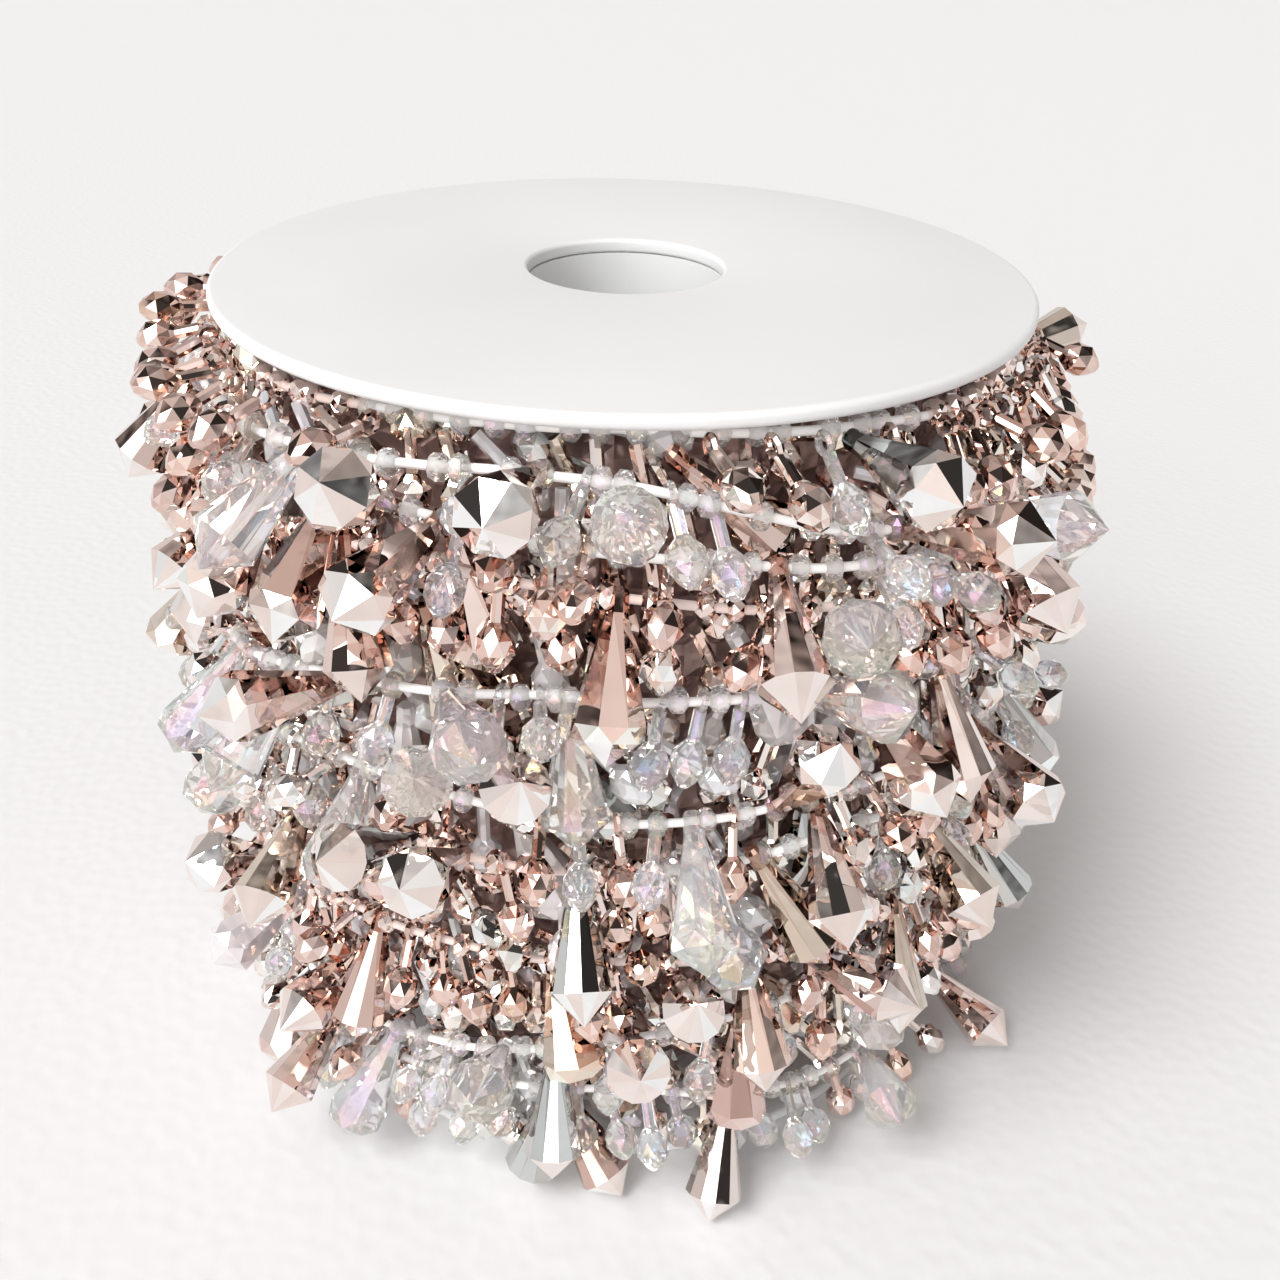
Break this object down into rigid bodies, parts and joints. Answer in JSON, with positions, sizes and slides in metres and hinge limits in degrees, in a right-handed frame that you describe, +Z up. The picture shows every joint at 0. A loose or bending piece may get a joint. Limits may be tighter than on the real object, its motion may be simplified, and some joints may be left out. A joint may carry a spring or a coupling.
{
  "type": "bead garland wound on a spool",
  "caption": "Garland strand with faceted teardrop pendants wound on a flanged plastic spool, a trimming to unwind and cut for crafts and decoration.",
  "frame": {"origin": "on the spool's axis, at the underside of the lower flange", "axes": "+Z up along the spool's axis, -Y towards the front"},
  "size_m": [0.118, 0.118, 0.0935],
  "materials": {
    "white_plastic": "semi-matte moulded off-white",
    "wound_beads": "faceted beads, rose-gold plated and clear, heaped together",
    "rose_gold_plating": "rose-gold vacuum plating on faceted acrylic"
  },
  "bodies": {
    "root": {"top_flange": "white_plastic", "bottom_flange": "white_plastic", "barrel": "white_plastic", "wound_bed": "wound_beads", "outer_strand": "rose_gold_plating"}
  },
  "joints": []
}
